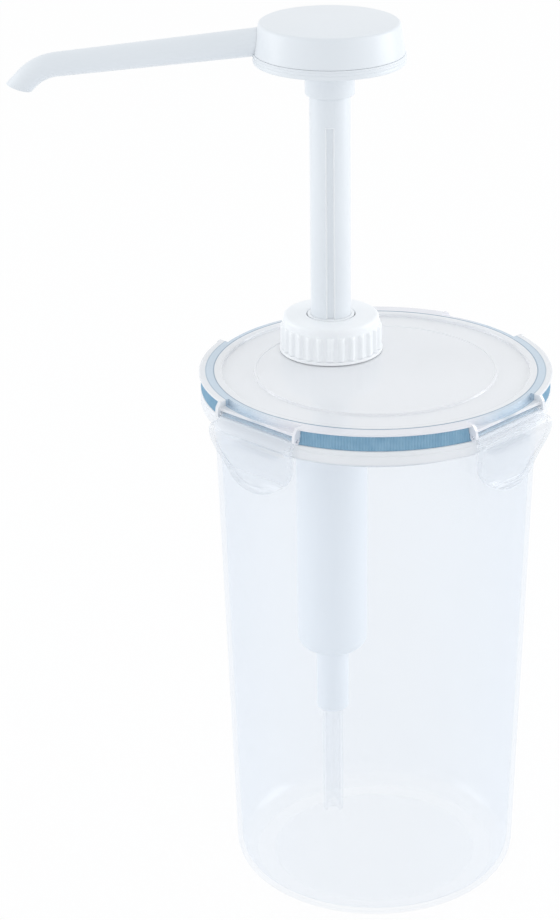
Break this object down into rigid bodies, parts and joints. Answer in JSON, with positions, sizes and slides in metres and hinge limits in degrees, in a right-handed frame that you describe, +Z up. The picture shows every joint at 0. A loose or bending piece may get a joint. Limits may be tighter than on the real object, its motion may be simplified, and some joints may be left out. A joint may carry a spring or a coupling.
{
  "type": "syrup dispenser",
  "caption": "Round translucent storage jar with a lid, locking side flaps, a sealing ring and a piston pump with a long side spout, for dispensing syrup or sauce.",
  "frame": {"origin": "centre of the jar's foot, at the level it stands on", "axes": "+Z up; the spout points along -X; the flaps are near the diagonals"},
  "size_m": [0.1979, 0.13, 0.3295],
  "materials": {
    "clear_plastic": "translucent, satin",
    "white_plastic": "smooth, semi-gloss",
    "blue_silicone": "matt",
    "steel": "bright drawn wire and polished balls"
  },
  "bodies": {
    "jar": {"jar": "clear_plastic"},
    "lid": {"lid": "clear_plastic", "lid_gasket": "blue_silicone", "pump_cylinder": "white_plastic", "ball_cage": "white_plastic", "dip_tube": "clear_plastic", "return_spring": "steel", "neck_washer": "blue_silicone", "guide_bush": "white_plastic"},
    "collar": {"collar": "white_plastic"},
    "plunger": {"stem": "white_plastic", "piston": "white_plastic", "outlet_valve_seat": "white_plastic", "head_base": "white_plastic", "head_cap": "white_plastic", "stem_seal": "blue_silicone", "spout": "white_plastic"},
    "inlet_ball": {"inlet_ball": "steel"},
    "outlet_ball": {"outlet_ball": "steel"},
    "flap_front_left": {"flap_front_left": "clear_plastic"},
    "flap_front_right": {"flap_front_right": "clear_plastic"},
    "flap_back_left": {"flap_back_left": "clear_plastic"},
    "flap_back_right": {"flap_back_right": "clear_plastic"}
  },
  "joints": [
    {"name": "lid_lift", "type": "slide", "parent": "jar", "child": "lid", "axis": [0, 0, 1], "range_m": [0, 0.205]},
    {"name": "pump_stroke", "type": "slide", "parent": "lid", "child": "plunger", "axis": [0, 0, -1], "range_m": [0, 0.07], "stiffness_N_per_m": 200, "springref_m": -0.04, "deforming": ["return_spring"]},
    {"name": "collar_turn", "type": "hinge", "parent": "lid", "child": "collar", "pos_m": [-0.0166, 0.0202, 0.21], "axis": [0, 0, 1], "range_deg": [0, 450]},
    {"name": "inlet_ball_lift", "type": "slide", "parent": "lid", "child": "inlet_ball", "axis": [0, 0, 1], "range_m": [0, 0.003]},
    {"name": "outlet_ball_lift", "type": "slide", "parent": "plunger", "child": "outlet_ball", "axis": [0, 0, 1], "range_m": [0, 0.003]},
    {"name": "flap_front_left_hinge", "type": "hinge", "parent": "lid", "child": "flap_front_left", "pos_m": [-0.04202, -0.04667, 0.201], "axis": [-0.7431, 0.6691, 0], "range_deg": [0, 100]},
    {"name": "flap_front_right_hinge", "type": "hinge", "parent": "lid", "child": "flap_front_right", "pos_m": [0.04667, -0.04202, 0.201], "axis": [-0.6691, -0.7431, 0], "range_deg": [0, 100]},
    {"name": "flap_back_left_hinge", "type": "hinge", "parent": "lid", "child": "flap_back_left", "pos_m": [-0.04667, 0.04202, 0.201], "axis": [0.6691, 0.7431, 0], "range_deg": [0, 100]},
    {"name": "flap_back_right_hinge", "type": "hinge", "parent": "lid", "child": "flap_back_right", "pos_m": [0.04202, 0.04667, 0.201], "axis": [0.7431, -0.6691, 0], "range_deg": [0, 100]}
  ]
}
